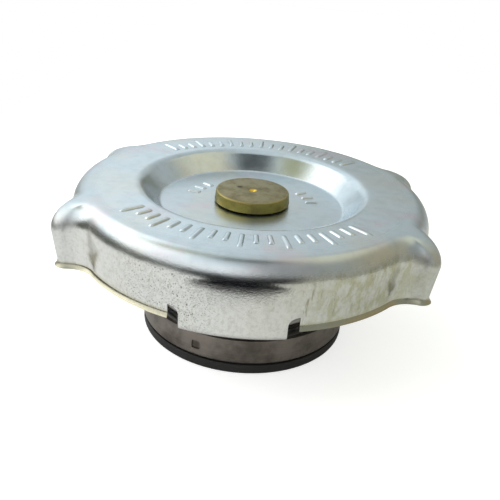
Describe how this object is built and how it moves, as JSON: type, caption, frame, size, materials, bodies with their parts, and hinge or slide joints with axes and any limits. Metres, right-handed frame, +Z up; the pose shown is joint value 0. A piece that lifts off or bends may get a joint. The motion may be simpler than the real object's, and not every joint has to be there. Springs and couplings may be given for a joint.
{
  "type": "radiator cap",
  "caption": "Pressed-steel radiator pressure cap with a scalloped grip, bayonet lugs, a riveted brass button and a sprung pressure and vacuum valve.",
  "frame": {"origin": "centre of the pressure gasket's underside, which the cap stands on", "axes": "+Z up the rivet's axis to the button, bayonet lugs on the Y axis, grip lobes either side of the X axis"},
  "size_m": [0.0668, 0.066, 0.0295],
  "materials": {
    "zinc_plated_steel": "pressed sheet, zinc plated and clear passivated",
    "aged_brass": "turned, with a dull olive patina",
    "turned_brass": "turned",
    "spring_steel": "bright rolled and drawn",
    "dark_steel": "pressed sheet, dark oxide",
    "black_rubber": "moulded"
  },
  "bodies": {
    "core": {"centre_rivet": "aged_brass", "diaphragm": "spring_steel", "upper_gasket": "black_rubber", "spring_seat": "zinc_plated_steel", "bell": "zinc_plated_steel", "pressure_spring": "spring_steel"},
    "shell": {"cap_shell": "zinc_plated_steel"},
    "valve": {"valve_cup": "dark_steel", "pressure_gasket": "black_rubber", "valve_spool": "turned_brass", "vacuum_spring": "spring_steel"},
    "vent": {"vacuum_valve": "turned_brass", "vacuum_seal": "black_rubber", "vacuum_keeper": "turned_brass"}
  },
  "joints": [
    {"name": "shell_turn", "type": "hinge", "parent": "core", "child": "shell", "pos_m": [0, 0, 0.0257], "axis": [0, 0, 1], "continuous": true},
    {"name": "valve_lift", "type": "slide", "parent": "core", "child": "valve", "axis": [0, 0, 1], "range_m": [0, 0.0035], "stiffness_N_per_m": 1200, "springref_m": -0.004, "deforming": ["pressure_spring"]},
    {"name": "vacuum_open", "type": "slide", "parent": "valve", "child": "vent", "axis": [0, 0, -1], "range_m": [0, 0.0016], "stiffness_N_per_m": 60, "springref_m": -0.003, "deforming": ["vacuum_spring"]}
  ]
}
